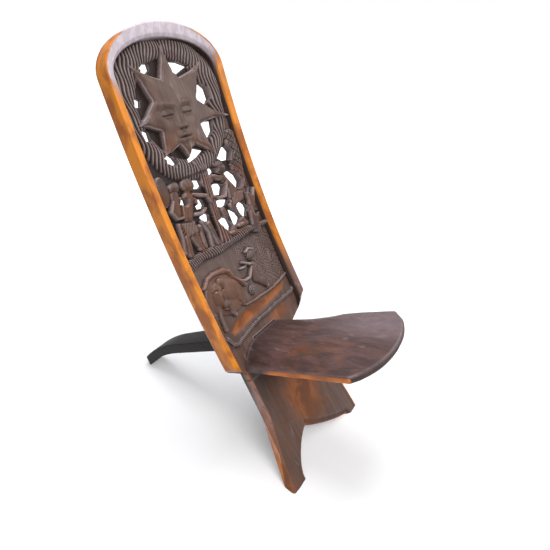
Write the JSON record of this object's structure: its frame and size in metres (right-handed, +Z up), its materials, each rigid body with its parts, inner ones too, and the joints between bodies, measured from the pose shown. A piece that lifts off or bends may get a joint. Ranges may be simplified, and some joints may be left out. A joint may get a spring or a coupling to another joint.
{
  "type": "birthing chair",
  "caption": "Low chair of interlocking planks: a bowed, carved and pierced back on splayed feet, and a fan-shaped seat whose tail slides through the back's slot and props it from behind",
  "frame": {"origin": "on the floor, under the middle of the chair's box", "axes": "+Z up; the chair faces -Y, so its tail is at +Y; X runs across it, and -X is the side nearer the picture's camera"},
  "size_m": [0.31, 0.7466, 0.8962],
  "materials": {
    "carved_wood": "dark stained and waxed, worn to amber on the rims",
    "seat_wood": "dark stained and polished by use"
  },
  "bodies": {
    "back": {"back_plank": "carved_wood"},
    "seat": {"seat_plank": "seat_wood"}
  },
  "joints": [
    {"name": "seat_slide", "type": "slide", "parent": "back", "child": "seat", "axis": [0, -0.9002, 0.4355], "range_m": [0, 0.29]}
  ]
}
